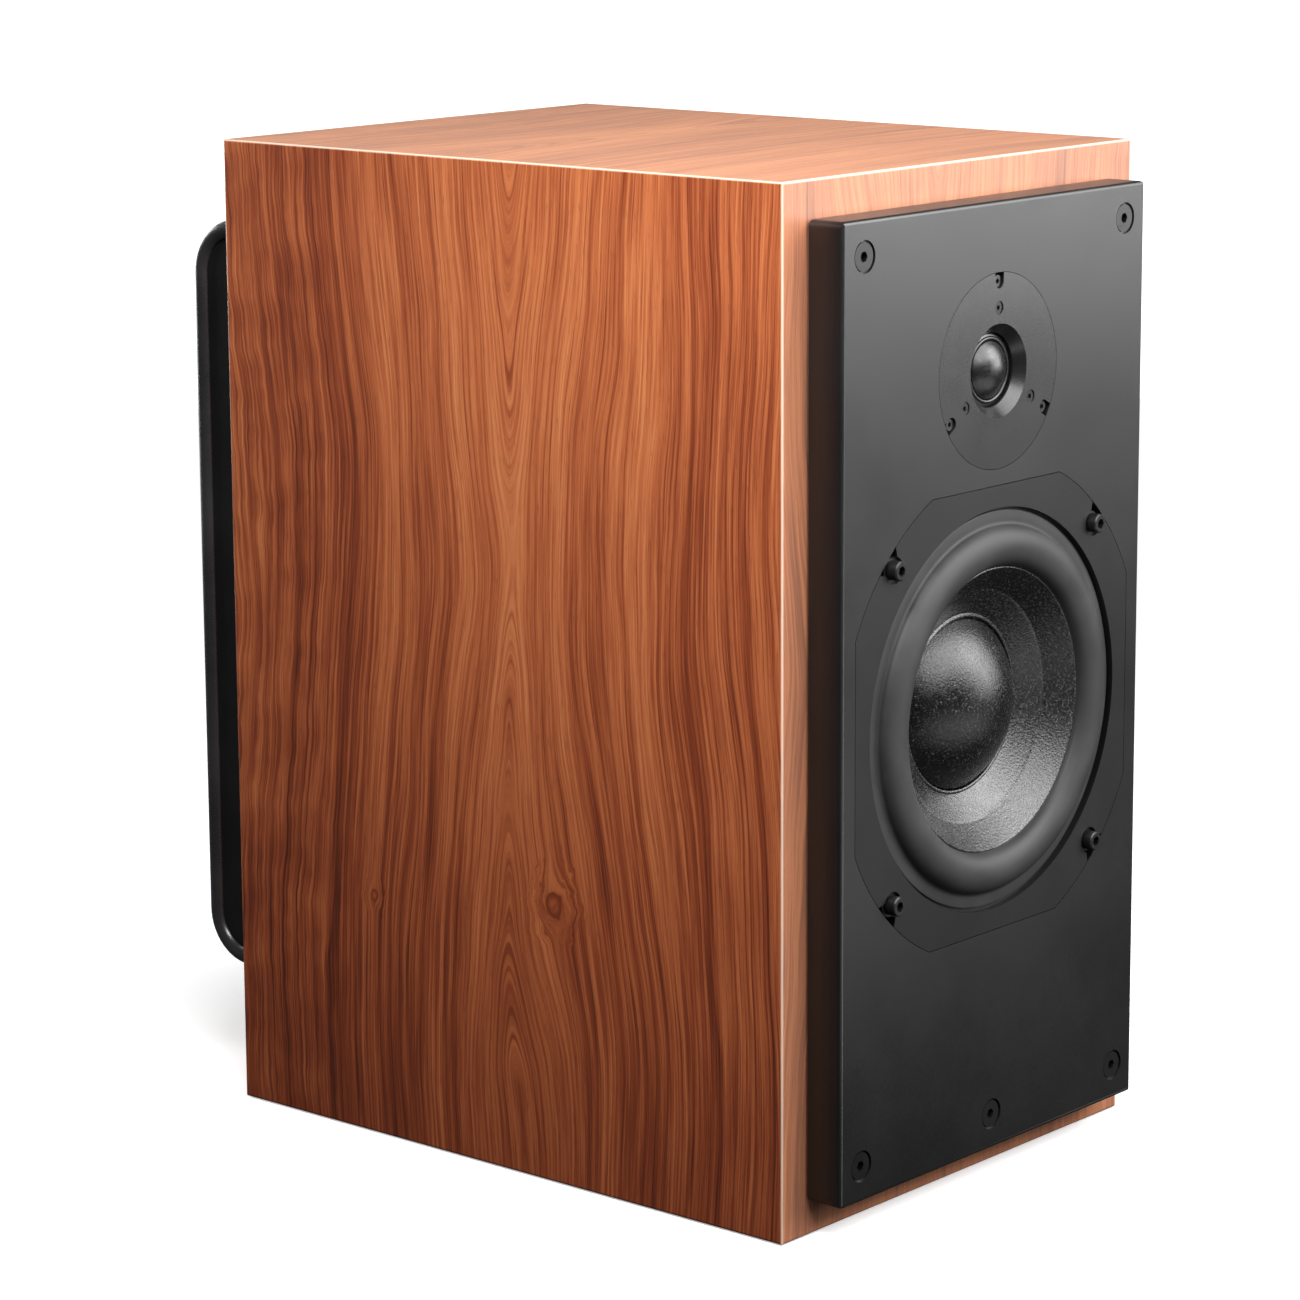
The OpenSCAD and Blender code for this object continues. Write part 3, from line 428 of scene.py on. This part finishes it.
    # painted highlight: the rounded corners on the given planes turn pale
    painted_edge_highlight = 0.0
    for axis, plane in edges:
        beyond = g.math("ABSOLUTE", g.less(axes[axis], plane))
        painted_edge_highlight = g.math("MAXIMUM", painted_edge_highlight, g.span(beyond, 0.0003, 0.0011, 0.75, 0.0))
    colour = g.mix(painted_edge_highlight, colour, WOOD_EDGE_HIGHLIGHT)
    rough = g.total(g.span(fibre, 0.3, 0.7, 0.36 + dull, 0.44 + dull), g.times(pore, 0.1))
    relief = g.less(g.times(fibre, 0.5), pore)
    normal = g.bump(relief, 0.00006, 0.35)
    return g.surface(colour=colour, roughness=rough, specular=0.5, normal=normal)


# ---------------------------------------------------------------- painted, moulded and cloth finishes


def coated(name, colour, roughness, specular=0.4, grain=2200.0, height=0.00003, strength=0.4,
           metallic=0.0, mottle=0.35, scuffs=0.0):
    """Paint, powder coat or moulded plastic: a fine pebbled skin, cloudy gloss and slight colour drift."""
    g = Graph(name)
    cloud = g.noise(g.place, 14.0, 4.0, 0.6)
    skin = g.noise(g.place, grain, 2.0, 0.5)
    fine = g.noise(g.place, grain * 2.7, 2.0, 0.5)
    base = srgb(*colour)
    tint = g.mix(g.span(cloud, 0.3, 0.7), scaled(base, 1 - mottle), scaled(base, 1 + mottle))
    rough = g.total(g.span(cloud, 0.3, 0.7, roughness - 0.03, roughness + 0.03),
                   g.span(skin, 0.3, 0.7, -0.03, 0.03))
    if scuffs:
        rub = g.noise(g.stretch(g.place, (40.0, 40.0, 900.0)), 1.0, 3.0, 0.6)
        mark = g.span(rub, 0.62, 0.75)
        rough = g.total(rough, g.times(mark, scuffs))
    relief = g.total(skin, g.times(fine, 0.4))
    return g.surface(colour=tint, roughness=rough, specular=specular, metallic=metallic,
                     normal=g.bump(relief, height, strength))


def coated_cloth(name, colour, roughness, grain, height, strength, specular=0.5, weave=0.0, painted_glints=0.0):
    """Doped paper or cloth: a glossy skin over a coarse grain, with an optional weave and painted glints."""
    g = Graph(name)
    lumps = g.noise(g.place, grain, 3.0, 0.7)
    grit = g.cells(g.place, grain * 0.8)
    relief = g.total(lumps, g.times(grit, 0.5))
    if weave:
        axes = g.split(g.place)
        thread_a = g.math("SINE", g.times(g.total(axes["x"], axes["z"]), weave))
        thread_b = g.math("SINE", g.times(g.less(axes["x"], axes["z"]), weave))
        relief = g.total(relief, g.times(g.times(thread_a, thread_b), 0.5))
    base = srgb(*colour)
    tint = g.mix(g.span(lumps, 0.35, 0.75), base, scaled(base, 2.0))
    rough = g.span(g.noise(g.place, grain * 0.2, 3.0, 0.6), 0.3, 0.7, roughness - 0.05, roughness + 0.07)
    # painted glints: pale flecks and brighter sparks stand in for light glittering on the glossy skin
    if painted_glints:
        glint_flecks = g.span(g.noise(g.place, grain * 0.8, 1.0, 0.5), 0.56, 0.68)
        tint = g.mix(g.times(glint_flecks, painted_glints), tint, srgb(96, 96, 98))
        glint_sparks = g.span(g.noise(g.place, grain * 0.85, 1.0, 0.5), 0.7, 0.75, 0.0, 0.5)
        tint = g.mix(glint_sparks, tint, srgb(150, 150, 154))
        rough = g.total(rough, g.times(glint_flecks, 0.2))
    return g.surface(colour=tint, roughness=rough, specular=specular,
                     normal=g.bump(relief, height, strength))


def rubber(name, colour, roughness=0.5):
    """Butyl rubber with a soft bloom and very fine moulded grain."""
    g = Graph(name)
    bloom = g.noise(g.place, 32.0, 4.0, 0.6)
    grain = g.noise(g.place, 2600.0, 2.0, 0.5)
    base = srgb(*colour)
    tint = g.mix(g.span(bloom, 0.35, 0.7), base, scaled(base, 1.5))
    rough = g.span(bloom, 0.3, 0.7, roughness, roughness + 0.08)
    return g.surface(colour=tint, roughness=rough, specular=0.42,
                     normal=g.bump(grain, 0.00003, 0.3))


def metal(name, colour, roughness=0.3, brush=(1.0, 1.0, 1.0), brushing=0.0, tarnish=0.15):
    """Bare metal with cloudy tarnish and optional brushed lines along the short axes of brush."""
    g = Graph(name)
    cloud = g.noise(g.place, 45.0, 4.0, 0.6)
    lines = g.noise(g.stretch(g.place, tuple(1500.0 * v for v in brush)), 1.0, 3.0, 0.6)
    base = srgb(*colour)
    tint = g.mix(g.span(cloud, 0.35, 0.65), base, scaled(base, 1 - tarnish))
    rough = g.total(g.span(cloud, 0.3, 0.7, roughness - 0.05, roughness + 0.08),
                   g.times(g.less(lines, 0.5), 0.2))
    return g.surface(colour=tint, roughness=rough, metallic=1.0,
                     normal=g.bump(lines, 0.00002, 0.15 + brushing))


def sheet_wood(name):
    """Birch plywood: pale plies seen on edge, with a sanded grain."""
    g = Graph(name)
    axes = g.split(g.place)
    plies = g.math("FRACT", g.times(axes["y"], 1 / 0.0028))
    ply = g.span(plies, 0.45, 0.55)
    fibre = g.noise(g.stretch(g.place, (60.0, 900.0, 60.0)), 1.0, 4.0, 0.6)
    colour = g.mix(ply, srgb(214, 182, 138), srgb(180, 142, 98))
    colour = g.mix(g.span(fibre, 0.4, 0.7, 0.0, 0.4), colour, srgb(150, 112, 74))
    return g.surface(colour=colour, roughness=0.72, specular=0.3, normal=g.bump(fibre, 0.0001, 0.4))


def wadding_fibre(name):
    """White polyester wadding: matted fibres with a soft sheen."""
    g = Graph(name)
    tangle = g.noise(g.place, 260.0, 5.0, 0.7, 1.5)
    clumps = g.noise(g.place, 40.0, 4.0, 0.6)
    colour = g.mix(g.span(tangle, 0.35, 0.65), srgb(236, 234, 226), srgb(196, 194, 186))
    colour = g.mix(g.span(clumps, 0.45, 0.75, 0.0, 0.25), colour, srgb(176, 173, 164))
    relief = g.total(tangle, g.times(clumps, 2.0))
    return g.surface(colour=colour, roughness=0.95, specular=0.1, sheen=0.4, sheen_roughness=0.6,
                     normal=g.bump(relief, 0.0008, 0.8))


def woven(name, colour, thread, sheen=0.1):
    """Resin-impregnated cloth with an open weave along X and Z."""
    g = Graph(name)
    axes = g.split(g.place)
    warp = g.math("ABSOLUTE", g.math("SINE", g.times(axes["x"], math.pi / thread)))
    weft = g.math("ABSOLUTE", g.math("SINE", g.times(axes["z"], math.pi / thread)))
    cloth = g.times(warp, weft)
    stain = g.noise(g.place, 60.0, 4.0, 0.6)
    base = srgb(*colour)
    dark = scaled(base, 0.45)
    tint = g.mix(g.span(cloth, 0.1, 0.5), dark, base)
    tint = g.mix(g.span(stain, 0.4, 0.7, 0.0, 0.3), tint, dark)
    return g.surface(colour=tint, roughness=0.6, specular=0.35, sheen=sheen,
                     normal=g.bump(cloth, 0.0001, 0.7))


def wound(name, colour, pitch, axis="y", roughness=0.35, metallic=1.0):
    """Wire or tape wound in turns of that pitch along an axis."""
    g = Graph(name)
    axes = g.split(g.place)
    turns = g.math("ABSOLUTE", g.math("SINE", g.times(axes[axis], math.pi / pitch)))
    cloud = g.noise(g.place, 120.0, 4.0, 0.6)
    base = srgb(*colour)
    dark = scaled(base, 0.35)
    tint = g.mix(g.span(turns, 0.0, 0.45), dark, base)
    tint = g.mix(g.span(cloud, 0.45, 0.75, 0.0, 0.35), tint, dark)
    return g.surface(colour=tint, roughness=roughness, metallic=metallic,
                     normal=g.bump(turns, pitch * 0.25, 0.8))


def board(name):
    """A solder-masked board with etched tracks and pads."""
    g = Graph(name)
    axes = g.split(g.place)
    wander = g.cells(g.join(axes["x"], 0.0, axes["z"]), 90.0)
    lanes = g.math("ABSOLUTE", g.math("SINE", g.math("MULTIPLY",
                   g.total(axes["x"], g.times(wander, 0.004)), 900.0)))
    track = g.span(lanes, 0.72, 0.8)
    pads = g.span(g.cells(g.join(axes["x"], 0.0, axes["z"]), 240.0), 0.16, 0.2, 1.0, 0.0)
    colour = g.mix(track, srgb(18, 74, 44), srgb(34, 108, 66))
    colour = g.mix(pads, colour, srgb(190, 186, 172))
    return g.surface(colour=colour, roughness=0.34, metallic=pads,
                     normal=g.bump(track, 0.00005, 0.6))


def lens(name, colour):
    """A small tinted diffusing lens."""
    g = Graph(name)
    haze = g.noise(g.place, 900.0, 3.0, 0.6)
    base = srgb(*colour)
    pale = tuple(min(1.0, c * 1.8 + 0.02) for c in base[:3]) + (1.0,)
    tint = g.mix(g.span(haze, 0.3, 0.7), base, pale)
    return g.surface(colour=tint, roughness=0.12, transmission=0.45, ior=1.49,
                     normal=g.bump(haze, 0.00005, 0.2))


def paint_stage(name):
    """The floor: pale matt paper that fades into the white background away from the object."""
    g = Graph(name)
    paper = g.noise(g.place, 500.0, 3.0, 0.6)
    colour = g.mix(g.span(paper, 0.3, 0.7), srgb(238, 238, 238), srgb(246, 246, 246))
    g.surface(colour=colour, roughness=0.9, specular=0.1, glow=colour, glow_strength=FLOOR_GLOW)
    fade = g.span(g.length(g.place), *FLOOR_FADE)
    clear = g.node("ShaderNodeBsdfTransparent").outputs[0]
    blend = g.node("ShaderNodeMixShader", {0: fade, 1: g.shader.outputs[0], 2: clear})
    g.tree.links.new(blend.outputs[0], g.tree.nodes["Material Output"].inputs["Surface"])
    return g.material


def dress_nodes():
    """Gives every CAD node that stays its finished material."""
    grain_up = {"along": "z", "across": "y", "into": "x"}
    finishes = {
        veneer("veneer_side", **grain_up, figure=FIGURE["side"], knots=KNOTS,
               edges=(TOP_EDGE, FRONT_EDGE)):
            ["side_panel_left", "side_panel_right"],
        # The top and front copies carry painted sheen and painted shade.
        veneer("veneer_top", "x", "y", "z", FIGURE["top"], painted_sheen=0.3, painted_shade=0.3, dull=0.26,
               edges=(*SIDE_EDGES, FRONT_EDGE)):
            ["top_panel", "bottom_panel"],
        veneer("veneer_front", "z", "x", "y", FIGURE["front"], painted_sheen=0.2, painted_shade=0.15,
               edges=(*SIDE_EDGES, TOP_EDGE)):
            ["front_panel", "back_panel"],
        sheet_wood("birch_plywood"): ["cabinet_brace"],
        coated("closed_cell_foam", (22, 22, 23), 0.8, 0.2, 900.0, 0.0003, 0.8):
            ["baffle_gasket", "woofer_gasket"],
        coated("baffle_satin_paint", (16, 16, 17), 0.36, 0.76, 1500.0, 0.00002, 0.3, mottle=0.1):
            ["front_baffle"],
        coated("tweeter_plate_anodised", (24, 24, 26), 0.3, 0.8, 2600.0, 0.00002, 0.3, mottle=0.1):
            ["tweeter_faceplate"],
        coated("cast_basket_coat", (24, 24, 26), 0.42, 0.42, 1100.0, 0.00003, 0.4, mottle=0.15):
            ["woofer_basket"],
        coated("blackened_steel", (21, 21, 22), 0.34, 0.5, 3000.0, 0.00002, 0.4, scuffs=0.15):
            ["baffle_screws", "woofer_screws", "amp_plate_screws"],
        coated("worn_black_screw", (82, 82, 84), 0.26, 0.5, 3000.0, 0.00002, 0.4, metallic=0.8):
            ["tweeter_faceplate_screws", "tweeter_mounting_screws"],
        coated("powder_coat", (24, 24, 25), 0.42, 0.5, 1300.0, 0.00008, 0.7):
            ["amp_plate", "amp_cheek_left", "amp_cheek_right"],
        coated("hoop_coat", (48, 48, 49), 0.3, 1.0, 1500.0, 0.00004, 0.5, scuffs=0.12):
            ["guard_hoop_left", "guard_hoop_right"],
        coated("heatsink_anodised", (30, 30, 33), 0.36, 0.5, 3200.0, 0.00002, 0.4, metallic=0.5, scuffs=0.1):
            ["heatsink"],
        coated("black_moulding", (30, 30, 31), 0.4, 0.5, 1700.0, 0.00006, 0.6):
            ["mains_inlet", "fuse_drawer", "power_switch_frame", "gain_knob", "xlr_socket"],
        coated("rocker_gloss", (18, 18, 19), 0.24, 0.5, 2500.0, 0.00002, 0.3): ["power_switch_rocker"],
        coated("component_case", (26, 26, 30), 0.4, 0.4, 1800.0, 0.00005, 0.5):
            ["power_transistors", "filter_capacitors"],
        coated("ferrite", (62, 62, 64), 0.7, 0.4, 700.0, 0.0001, 0.7): ["tweeter_magnet", "woofer_magnet"],
        metal("zinc_plate", (186, 188, 192), 0.3, (1.0, 0.06, 1.0), 0.2):
            ["tweeter_top_plate", "tweeter_pole_piece", "woofer_top_plate", "woofer_pole_piece",
             "transformer_bolt", "gain_potentiometer", "xlr_latch"],
        metal("turned_brass", (206, 168, 96), 0.28, (0.08, 1.0, 0.08), 0.2):
            ["threaded_inserts", "tweeter_terminals", "woofer_terminals", "xlr_contacts"],
        metal("nickel_plate", (208, 208, 210), 0.18): ["mains_inlet_pins", "mains_fuse"],
        wound("voice_coil_wire", (198, 110, 62), 0.00035, "y"): ["tweeter_voice_coil", "woofer_voice_coil"],
        wound("transformer_tape", (196, 158, 52), 0.004, "x", 0.3, 0.0): ["toroidal_transformer"],
        board("solder_mask"): ["amplifier_board"],
        lens("status_lens", (40, 160, 70)): ["status_led"],
    }
    for material, names in finishes.items():
        for name in names:
            for slot in nodes[name].material_slots:
                slot.material = material


# ---------------------------------------------------------------- turned pieces


def arc(centre, radius, start, end, steps):
    """Points round a centre given as (r, out), from start to end degrees, 0 being away from the axis."""
    turns = np.radians(np.linspace(start, end, steps + 1))
    return [(centre[0] + radius * math.cos(t), centre[1] + radius * math.sin(t)) for t in turns]


def curve(points, steps):
    """A smooth line through points, each given as (r, out)."""
    points = [Vector(p) for p in points]
    ends = [2 * points[0] - points[1]] + points + [2 * points[-1] - points[-2]]
    line = []
    for before, start, end, after in zip(ends, ends[1:], ends[2:], ends[3:]):
        for share in np.arange(steps) / steps:
            pull = (end - before) * 0.5, (after - start) * 0.5
            s2, s3 = share * share, share ** 3
            spot = ((2 * s3 - 3 * s2 + 1) * start + (s3 - 2 * s2 + share) * pull[0]
                    + (3 * s2 - 2 * s3) * end + (s3 - s2) * pull[1])
            line.append(tuple(spot))
    return line + [tuple(points[-1])]


def thicken(line, thickness):
    """A closed outline from an open line: the line itself, then its copy that much further in, backwards."""
    points = [Vector(p) for p in line]
    back = []
    for index, point in enumerate(points):
        ahead = points[min(index + 1, len(points) - 1)] - points[max(index - 1, 0)]
        inward = Vector((ahead.y, -ahead.x)).normalized()
        if inward.y > 0:
            inward = -inward
        back.append(point + inward * thickness)
    return [tuple(p) for p in points] + [tuple((max(p.x, 0.0), p.y)) for p in reversed(back)]


def new_object(name, bm, material):
    mesh = bpy.data.meshes.new(name)
    for face in bm.faces:
        face.smooth = True
    bm.to_mesh(mesh)
    bm.free()
    mesh.materials.append(material)
    made = bpy.data.objects.new(name, mesh)
    bpy.context.scene.collection.objects.link(made)
    return made


def turned(name, outline, axis, material, steps=256):
    """A closed outline of (r, out) millimetre points turned about a driver's axis."""
    bm = bmesh.new()
    rings = []
    for index in range(steps):
        turn = 2 * math.pi * index / steps
        rings.append([bm.verts.new((axis.x + r * MM * math.cos(turn), BAFFLE_FACE - out * MM,
                                    axis.z + r * MM * math.sin(turn))) for r, out in outline])
    count = len(outline)
    for index in range(steps):
        here, there = rings[index], rings[(index + 1) % steps]
        for k in range(count):
            after = (k + 1) % count
            bm.faces.new((here[k], here[after], there[after], there[k]))
    bmesh.ops.remove_doubles(bm, verts=bm.verts, dist=1e-6)
    bmesh.ops.dissolve_degenerate(bm, edges=bm.edges, dist=1e-7)
    bmesh.ops.recalc_face_normals(bm, faces=bm.faces)
    return new_object(name, bm, material)


def blend_round(piece):
    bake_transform(piece)


def build_woofer_surround(material):
    land = curve([(85.2, -2.6), (85.0, -2.1), (84.4, -1.95)], 4) + [(80.6, -1.95)]
    foot = [(79.6, -2.0), (79.1, -1.75)]
    roll = [(70.15 + 8.55 * math.cos(t), -1.6 + 6.1 * math.sin(t) ** 0.92)
            for t in np.radians(np.linspace(3, 177, 46))]
    lip = [(61.3, -1.9), (60.6, -2.0), (59.4, -2.35), (59.2, -2.8)]
    line = land + foot + roll + lip
    piece = turned("woofer_surround_roll", thicken(line, 1.0), WOOFER_AXIS, material)
    blend_round(piece)
    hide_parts("woofer_surround")


def build_woofer_cone(material):
    wall = curve([(60.6, -1.1), (58.0, -3.6), (54.2, -7.3), (50.9, -10.6)], 8)
    crease = curve([(50.9, -10.6), (50.3, -11.2), (49.5, -11.6)], 5)[1:]
    throat = curve([(49.5, -11.6), (45.0, -14.7), (41.0, -17.4), (38.9, -18.9)], 8)[1:]
    bead = arc((38.0, -18.9), 0.9, 60, 150, 6) + [(37.1, -19.2)]
    line = wall + crease + throat + bead
    piece = turned("woofer_cone_skin", thicken(line, 1.5), WOOFER_AXIS, material)
    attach(piece, WOOFER)
    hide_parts("woofer_cone")


def cap_line(radius, base, height, rim, steps):
    """The profile of a domed cap from the points of its rim to its crown."""
    ball = (radius ** 2 + height ** 2) / (2 * height)
    spread = math.degrees(math.asin(radius / ball))
    crown = arc((0.0, base + height - ball), ball, 90 - spread, 90, steps)
    return rim + crown


def build_woofer_dome(material):
    rim = [(38.0, -22.0), (37.95, -20.6)]
    line = cap_line(37.6, -20.0, 18.0, rim, 48)
    piece = turned("woofer_dust_dome", thicken(line, 0.8), WOOFER_AXIS, material)
    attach(piece, WOOFER)
    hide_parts("woofer_dome")


def build_spider(material):
    waves, height = 4, 1.5
    radii = np.linspace(38.2, 57.0, 89)
    ripple = [(r, -45.0 + height * math.sin(2 * math.pi * waves * (r - 38.2) / 18.8)) for r in radii]
    line = ripple + [(58.5, -45.0), (64.9, -45.0)]
    piece = turned("woofer_spider_cloth", thicken(line, 0.5), WOOFER_AXIS, material)
    blend_round(piece)
    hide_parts("woofer_spider")


def build_tweeter_dome(material):
    line = cap_line(12.2, -5.2, 4.9, [(12.3, -6.4), (12.28, -5.6)], 32)
    piece = turned("tweeter_dome_skin", thicken(line, 0.12), TWEETER_AXIS, material, 160)
    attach(piece, TWEETER)
    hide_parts("tweeter_dome")


def build_tweeter_surround(material):
    roll = arc((13.3, -5.55), 0.72, 8, 172, 18)
    line = [(16.4, -5.6), (14.3, -5.6)] + roll + [(12.42, -5.7)]
    piece = turned("tweeter_surround_roll", thicken(line, 0.14), TWEETER_AXIS, material, 160)
    blend_round(piece)
    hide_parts("tweeter_surround")


def build_wadding(material):
    """The lumpy batt behind the drivers: a rounded slab whose faces rise and fall in soft clumps."""
    low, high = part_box("acoustic_wadding")
    size, centre = high - low, (high + low) / 2
    bm = bmesh.new()
    bmesh.ops.create_cube(bm, size=1.0)
    bmesh.ops.subdivide_edges(bm, edges=bm.edges, cuts=47, use_grid_fill=True)
    rng = random.Random(7)
    waves = [(rng.uniform(20, 90), rng.uniform(20, 90), rng.uniform(0, 6.3), rng.uniform(0.2, 1.0))
             for _ in range(14)]
    for vert in bm.verts:
        unit = vert.co * 2
        x, y = unit.x * size.x / 2, unit.y * size.y / 2
        edge = (1 - abs(unit.x) ** 8) * (1 - abs(unit.y) ** 8)
        swell = sum(k * math.sin(u * x + phase) * math.cos(v * y + 2 * phase) for u, v, phase, k in waves)
        thick = size.z / 2 * (0.62 + 0.38 * max(edge, 0) ** 0.3) - 0.0006 * (6 + swell) * max(edge, 0)
        side = 1 - 0.035 * unit.z ** 2
        vert.co = (centre.x + x * side, centre.y + y * side, centre.z + unit.z * max(thick, 0.004))
    piece = new_object("wadding_batt", bm, material)
    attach(piece, CABINET)
    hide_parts("acoustic_wadding")


def build_leads(material):
    nodes["driver_leads"].material_slots[0].material = material


# ---------------------------------------------------------------- making the scene


def add_floor():
    bpy.ops.mesh.primitive_circle_add(vertices=96, radius=FLOOR_RADIUS, fill_type="NGON", location=(0, 0, 0))
    floor = bpy.context.object
    floor.name = "studio_floor"
    floor.location.z = cad_low.z - FLOOR_GAP
    floor.data.materials.append(paint_stage("studio_paper"))
    floor.visible_diffuse = False
    floor.visible_glossy = False


bpy.context.scene.view_settings.view_transform = "Standard"
add_camera()
light_the_studio()
add_floor()
dress_nodes()

build_woofer_surround(rubber("butyl_rubber", (44, 44, 45)))
# The last number sets the strength of the painted glints.
build_woofer_cone(coated_cloth("doped_cone", (14, 14, 14), 0.2, 1300.0, 0.0004, 0.5,
                               specular=0.9, painted_glints=0.35))
build_woofer_dome(coated_cloth("doped_dome", (11, 11, 11), 0.2, 1300.0, 0.0003, 0.45,
                               specular=0.6, painted_glints=0.2))
build_spider(woven("spider_weave", (205, 186, 128), 0.0008))
soft = coated_cloth("soft_dome_cloth", (17, 17, 18), 0.3, 2600.0, 0.00002, 0.12, specular=0.7, weave=9000.0)
build_tweeter_dome(soft)
build_tweeter_surround(soft)
build_wadding(wadding_fibre("polyester_wadding"))
build_leads(rubber("lead_insulation", (150, 40, 34), 0.42))
